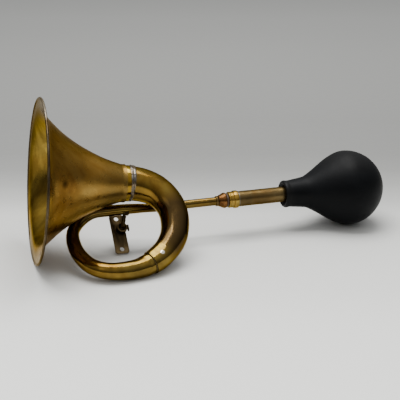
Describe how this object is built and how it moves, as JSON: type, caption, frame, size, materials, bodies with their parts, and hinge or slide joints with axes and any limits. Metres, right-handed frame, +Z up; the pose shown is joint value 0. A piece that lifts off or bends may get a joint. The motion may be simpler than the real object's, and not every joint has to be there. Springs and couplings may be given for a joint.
{
  "type": "bulb horn",
  "caption": "Looped brass horn with a flared bell, a reed holder on a screwed coupling, a rubber squeeze bulb and a swivelling two-hole bracket foot; squeezing the bulb sounds it.",
  "frame": {"origin": "middle of the underside of the whole horn's box, on the surface it lies on", "axes": "+Z up; +X from the bell's mouth to the bulb; the loop leans towards -Y"},
  "size_m": [0.3972, 0.17, 0.1691],
  "materials": {
    "aged_brass": "aged lacquered brass, olive gold going brown, glossy with small dents",
    "bright_brass": "rubbed yellow brass, satin",
    "brown_brass": "brown tarnished brass, semi-gloss",
    "copper_brass": "copper-brown tarnished brass, semi-gloss",
    "dark_brass": "nearly black tarnished cast brass, dull",
    "worn_rim": "rim worn to a grey silver",
    "solder": "dull grey solder, slightly lumpy",
    "rubber": "matte blue-black moulded rubber with dusty bloom",
    "leather": "dark oiled leather"
  },
  "bodies": {
    "horn": {"bell": "aged_brass", "bell_rim_wire": "worn_rim", "throat_ferrule": "bright_brass", "throat_solder": "solder", "upper_bend": "aged_brass", "lap_solder": "solder", "loop_tube": "aged_brass", "pipe_ferrule": "brown_brass", "lead_pipe": "aged_brass", "pipe_collar": "brown_brass", "coupling_cone": "copper_brass", "arm_saddle": "brown_brass", "bracket_arm": "brown_brass"},
    "foot": {"foot_plate": "dark_brass", "socket_boss": "dark_brass"},
    "clamp_screw": {"thumb_screw": "dark_brass"},
    "washer": {"sealing_washer": "leather"},
    "bulb_unit": {"threaded_plug": "bright_brass", "coupling_nut": "bright_brass", "coupling_ring": "bright_brass", "reed_block": "bright_brass", "reed_wedge": "brown_brass", "stem_tube": "brown_brass", "bulb_neck": "rubber"},
    "reed": {"reed_tongue": "bright_brass"},
    "bulb_left": {"bulb_left_half": "rubber"},
    "bulb_right": {"bulb_right_half": "rubber"}
  },
  "joints": [
    {"name": "foot_swivel", "type": "hinge", "parent": "horn", "child": "foot", "pos_m": [-0.10297, 0.00543, 0.0209], "axis": [-0.0852, 0.6587, -0.7476], "range_deg": [-60, 60]},
    {"name": "clamp_turn", "type": "hinge", "parent": "foot", "child": "clamp_screw", "pos_m": [-0.1027, 0.00332, 0.02329], "axis": [0.9963, 0.0669, -0.0546], "range_deg": [0, 180]},
    {"name": "unscrew_travel", "type": "slide", "parent": "horn", "child": "washer", "axis": [0.9999, 0.0122, 0.0017], "range_m": [0, 0.0061]},
    {"name": "unscrew_turn", "type": "hinge", "parent": "washer", "child": "bulb_unit", "pos_m": [0.0137, 0.00728, 0.04183], "axis": [0.9999, 0.0122, 0.0017], "range_deg": [0, 2160]},
    {"name": "reed_flex", "type": "hinge", "parent": "bulb_unit", "child": "reed", "pos_m": [0.0295, 0.00748, 0.04231], "axis": [-0.0122, 0.9999, 0], "range_deg": [-1.5, 2], "stiffness_Nm_per_rad": 0.004},
    {"name": "squeeze_left", "type": "slide", "parent": "bulb_unit", "child": "bulb_left", "axis": [0.0122, -0.9999, 0], "range_m": [0, 0.014], "stiffness_N_per_m": 900, "deforming": ["bulb_left_half"]},
    {"name": "squeeze_right", "type": "slide", "parent": "bulb_unit", "child": "bulb_right", "axis": [-0.0122, 0.9999, 0], "range_m": [0, 0.014], "stiffness_N_per_m": 900, "deforming": ["bulb_right_half"]}
  ],
  "couplings": [
    {"joint": "unscrew_travel", "follows": "unscrew_turn", "m_per_rad": 0.00015915},
    {"joint": "squeeze_right", "follows": "squeeze_left", "ratio": 1}
  ]
}
